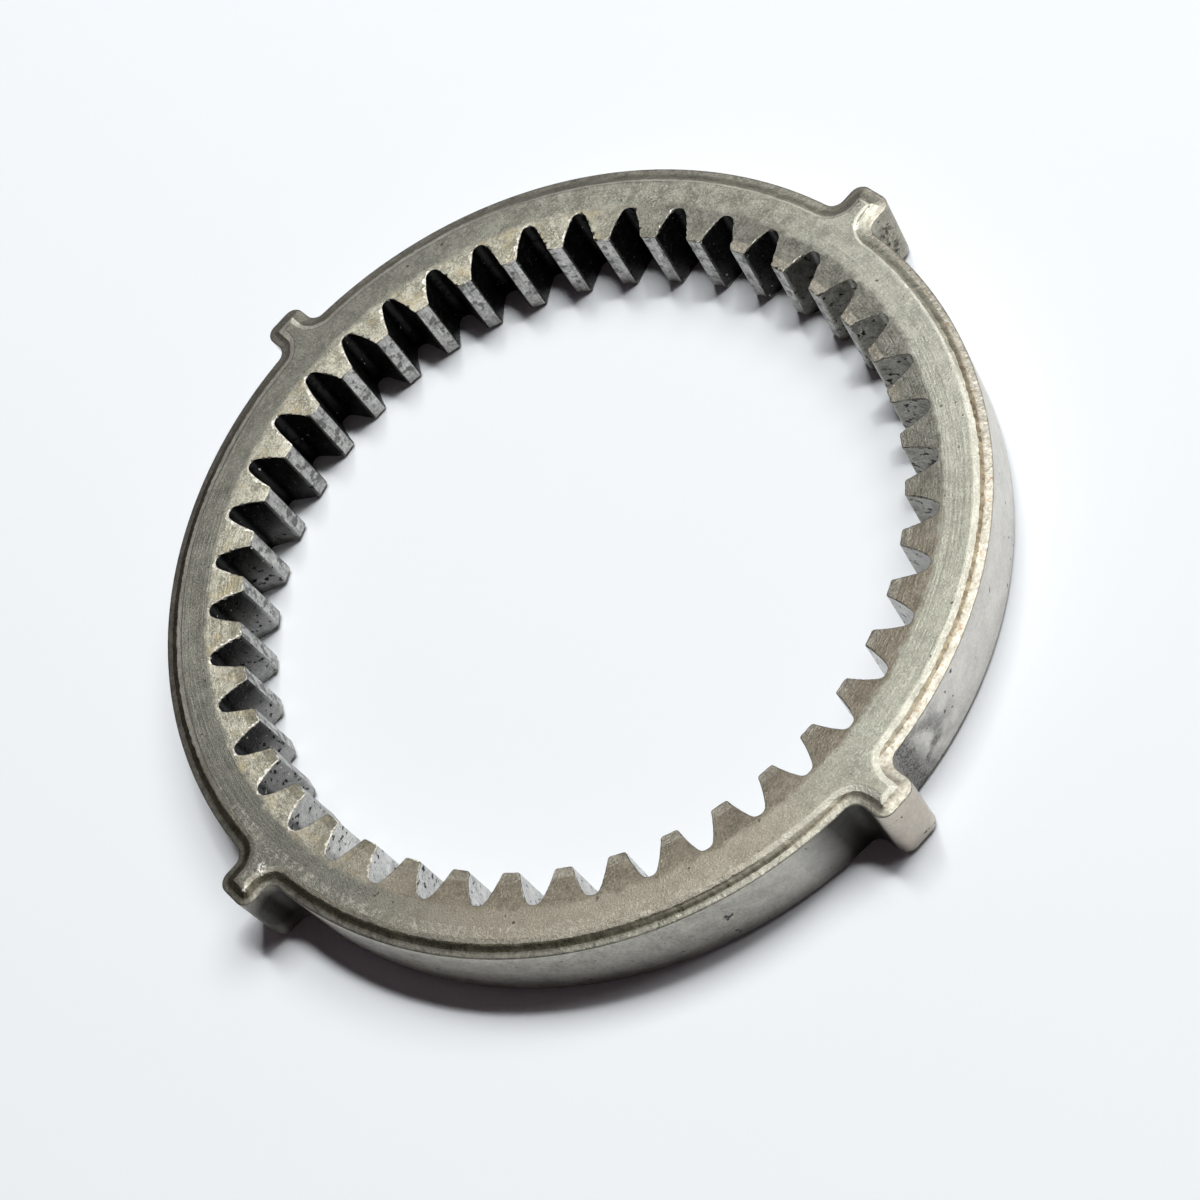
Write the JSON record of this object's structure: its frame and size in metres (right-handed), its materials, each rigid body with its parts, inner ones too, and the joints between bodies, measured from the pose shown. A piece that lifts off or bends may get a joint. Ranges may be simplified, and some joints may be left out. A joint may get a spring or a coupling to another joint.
{
  "type": "ring gear",
  "caption": "Flat steel ring gear with internal straight involute teeth, tapered tooth ends and small outer lugs that key it in a planetary gearbox housing.",
  "frame": {"origin": "centre of the bottom face, on the gear's axis", "axes": "+Z along the gear's axis, up to the end with the tapered teeth; +X through an outer lug and a tooth space"},
  "size_m": [0.0434, 0.0434, 0.0042],
  "materials": {
    "steel": "satin grey sintered steel with an olive tint"
  },
  "bodies": {
    "root": {"ring_gear": "steel"}
  },
  "joints": []
}
